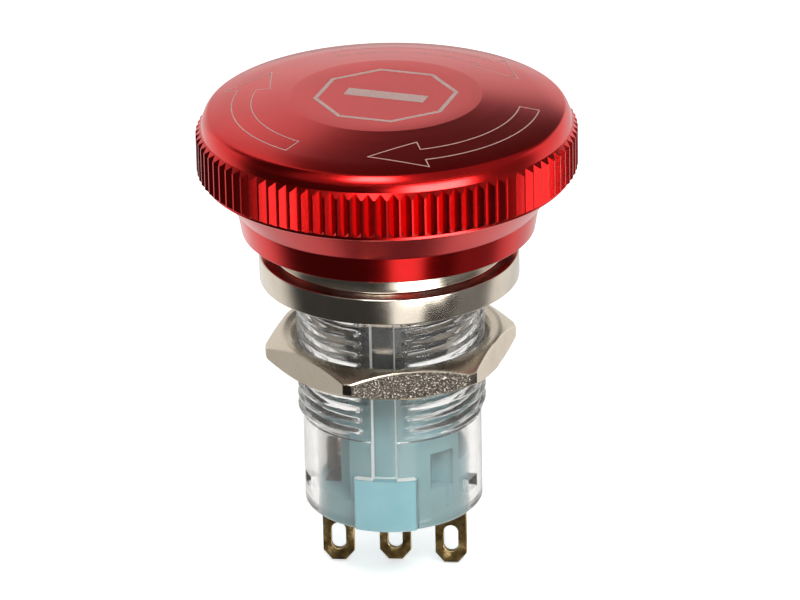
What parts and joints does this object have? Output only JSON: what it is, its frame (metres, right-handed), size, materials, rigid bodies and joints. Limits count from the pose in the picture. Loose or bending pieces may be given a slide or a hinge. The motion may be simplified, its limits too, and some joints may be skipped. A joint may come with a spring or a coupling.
{
  "type": "emergency stop push button",
  "caption": "Mushroom-head emergency stop push button for a 16 mm panel hole: push to stop, twist to release, solder terminals.",
  "frame": {"origin": "on the button's axis in the plane of the panel's front face, which is the underside of the bezel flange", "axes": "+Z out of the panel towards the operator along the button's axis; -Y towards the keyed front of the barrel with its latch tab; the three terminals lie in a row along X"},
  "size_m": [0.032, 0.032, 0.043],
  "materials": {
    "red_anodised": "anodised, satin",
    "nickel_plate": "nickel plated, satin",
    "clear_plastic": "clear polycarbonate",
    "teal_plastic": "moulded, satin",
    "black_rubber": "moulded",
    "spring_steel": "drawn wire",
    "turned_brass": "turned",
    "terminal_brass": "stamped, tarnished",
    "contact_copper": "stamped",
    "contact_silver": "riveted",
    "white_acetal": "moulded"
  },
  "bodies": {
    "housing": {"bezel": "nickel_plate", "panel_seal": "black_rubber", "barrel": "clear_plastic", "cam_sleeve": "teal_plastic", "latch_ring": "spring_steel", "contact_base": "teal_plastic", "terminal_nc": "terminal_brass", "terminal_common": "terminal_brass", "terminal_no": "terminal_brass", "fixed_contacts": "contact_silver"},
    "nut": {"lock_nut": "nickel_plate"},
    "plunger": {"pusher": "white_acetal", "return_spring": "spring_steel", "torsion_spring": "spring_steel", "contact_spring": "spring_steel"},
    "head": {"head_cap": "red_anodised", "spindle": "turned_brass", "spindle_seal": "black_rubber", "retaining_clip": "spring_steel", "cross_pin": "spring_steel"},
    "rocker": {"contact_blade": "contact_copper", "moving_contacts": "contact_silver"}
  },
  "joints": [
    {"name": "head_press", "type": "slide", "parent": "housing", "child": "plunger", "axis": [0, 0, 1], "range_m": [-0.003, 0], "stiffness_N_per_m": 1500, "springref_m": 0.003, "deforming": ["return_spring", "contact_spring"]},
    {"name": "head_twist", "type": "hinge", "parent": "plunger", "child": "head", "pos_m": [0, 0, 0], "axis": [0, 0, 1], "range_deg": [-30, 0], "stiffness_Nm_per_rad": 0.02, "springref_deg": 11.46},
    {"name": "nut_travel", "type": "slide", "parent": "housing", "child": "nut", "axis": [0, 0, 1], "range_m": [-0.0049, 0.0037]},
    {"name": "blade_rock", "type": "hinge", "parent": "housing", "child": "rocker", "pos_m": [0, 0.00036, -0.0162], "axis": [0, 1, 0], "range_deg": [0, 8]}
  ],
  "couplings": [
    {"joint": "blade_rock", "follows": "head_press", "rad_per_m": -46.5}
  ]
}
